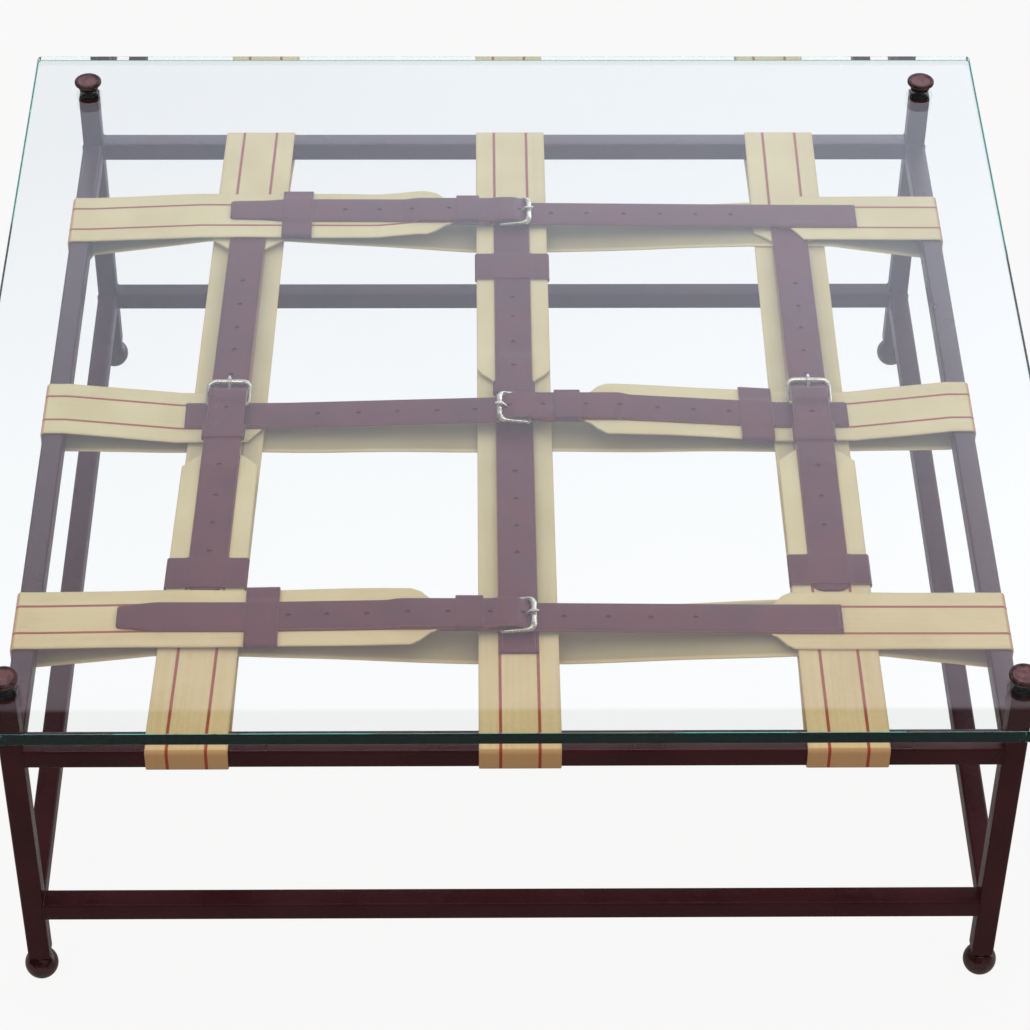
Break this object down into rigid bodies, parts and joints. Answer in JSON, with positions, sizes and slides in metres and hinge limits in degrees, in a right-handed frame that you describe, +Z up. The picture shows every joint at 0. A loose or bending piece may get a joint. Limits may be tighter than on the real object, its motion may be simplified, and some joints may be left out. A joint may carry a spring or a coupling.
{
  "type": "strapped glass coffee table",
  "caption": "Low square glass-topped table with a dark steel tube frame, ball feet and woven webbing loops closed by leather belts.",
  "frame": {"origin": "on the floor under the middle of the table", "axes": "+Z up, +Y to the back, +X to the right as seen from the front"},
  "size_m": [1.219, 1.219, 0.4826],
  "materials": {
    "lacquered_steel": "gloss",
    "bronzed_steel": "gloss",
    "clear_glass": "polished",
    "webbing": "matte",
    "leather": "satin",
    "nickel": "polished"
  },
  "bodies": {
    "table": {"upper_rail_front": "lacquered_steel", "upper_rail_back": "lacquered_steel", "upper_rail_left": "lacquered_steel", "upper_rail_right": "lacquered_steel", "lower_rail_front": "lacquered_steel", "lower_rail_back": "lacquered_steel", "lower_rail_left": "lacquered_steel", "lower_rail_right": "lacquered_steel", "leg_front_left": "lacquered_steel", "foot_front_left": "bronzed_steel", "leg_front_right": "lacquered_steel", "foot_front_right": "bronzed_steel", "leg_back_left": "lacquered_steel", "foot_back_left": "bronzed_steel", "leg_back_right": "lacquered_steel", "foot_back_right": "bronzed_steel", "glass_top": "clear_glass", "webbing_row_back": "webbing", "strap_row_back": "leather", "chape_row_back": "leather", "buckle_row_back": "nickel", "prong_row_back": "nickel", "webbing_row_middle": "webbing", "strap_row_middle": "leather", "chape_row_middle": "leather", "buckle_row_middle": "nickel", "prong_row_middle": "nickel", "webbing_row_front": "webbing", "strap_row_front": "leather", "chape_row_front": "leather", "buckle_row_front": "nickel", "prong_row_front": "nickel", "webbing_column_left": "webbing", "strap_column_left": "leather", "chape_column_left": "leather", "buckle_column_left": "nickel", "prong_column_left": "nickel", "webbing_column_right": "webbing", "strap_column_right": "leather", "chape_column_right": "leather", "buckle_column_right": "nickel", "prong_column_right": "nickel", "webbing_column_centre": "webbing", "strap_column_centre": "leather", "chape_column_centre": "leather", "buckle_column_centre": "nickel", "prong_column_centre": "nickel"},
    "knob_front_left_body": {"knob_front_left": "bronzed_steel"},
    "knob_front_right_body": {"knob_front_right": "bronzed_steel"},
    "knob_back_left_body": {"knob_back_left": "bronzed_steel"},
    "knob_back_right_body": {"knob_back_right": "bronzed_steel"},
    "keeper_row_back_body": {"keeper_row_back": "leather"},
    "keeper_row_middle_body": {"keeper_row_middle": "leather"},
    "keeper_row_front_body": {"keeper_row_front": "leather"},
    "keeper_column_left_body": {"keeper_column_left": "leather"},
    "keeper_column_right_body": {"keeper_column_right": "leather"},
    "keeper_column_centre_body": {"keeper_column_centre": "leather"}
  },
  "joints": [
    {"name": "knob_front_left_turn", "type": "hinge", "parent": "table", "child": "knob_front_left_body", "pos_m": [-0.5375, -0.5375, 0.4698], "axis": [0, 0, 1], "continuous": true},
    {"name": "knob_front_right_turn", "type": "hinge", "parent": "table", "child": "knob_front_right_body", "pos_m": [0.5375, -0.5375, 0.4698], "axis": [0, 0, 1], "continuous": true},
    {"name": "knob_back_left_turn", "type": "hinge", "parent": "table", "child": "knob_back_left_body", "pos_m": [-0.5375, 0.5375, 0.4698], "axis": [0, 0, 1], "continuous": true},
    {"name": "knob_back_right_turn", "type": "hinge", "parent": "table", "child": "knob_back_right_body", "pos_m": [0.5375, 0.5375, 0.4698], "axis": [0, 0, 1], "continuous": true},
    {"name": "keeper_row_back_slide", "type": "slide", "parent": "table", "child": "keeper_row_back_body", "axis": [1, -0.0055, 0], "range_m": [-0.016, 0.114]},
    {"name": "keeper_row_middle_slide", "type": "slide", "parent": "table", "child": "keeper_row_middle_body", "axis": [-0.9976, 0, 0.0698], "range_m": [-0.006, 0.128]},
    {"name": "keeper_row_front_slide", "type": "slide", "parent": "table", "child": "keeper_row_front_body", "axis": [0.9997, -0.0039, 0.0225], "range_m": [-0.006, 0.116]},
    {"name": "keeper_column_left_slide", "type": "slide", "parent": "table", "child": "keeper_column_left_body", "axis": [0.0287, 0.9993, 0.0233], "range_m": [-0.004, 0.125]},
    {"name": "keeper_column_right_slide", "type": "slide", "parent": "table", "child": "keeper_column_right_body", "axis": [0, 0.9997, 0.0225], "range_m": [-0.008, 0.128]},
    {"name": "keeper_column_centre_slide", "type": "slide", "parent": "table", "child": "keeper_column_centre_body", "axis": [0, -0.9981, -0.0609], "range_m": [-0.02, 0.128]}
  ]
}
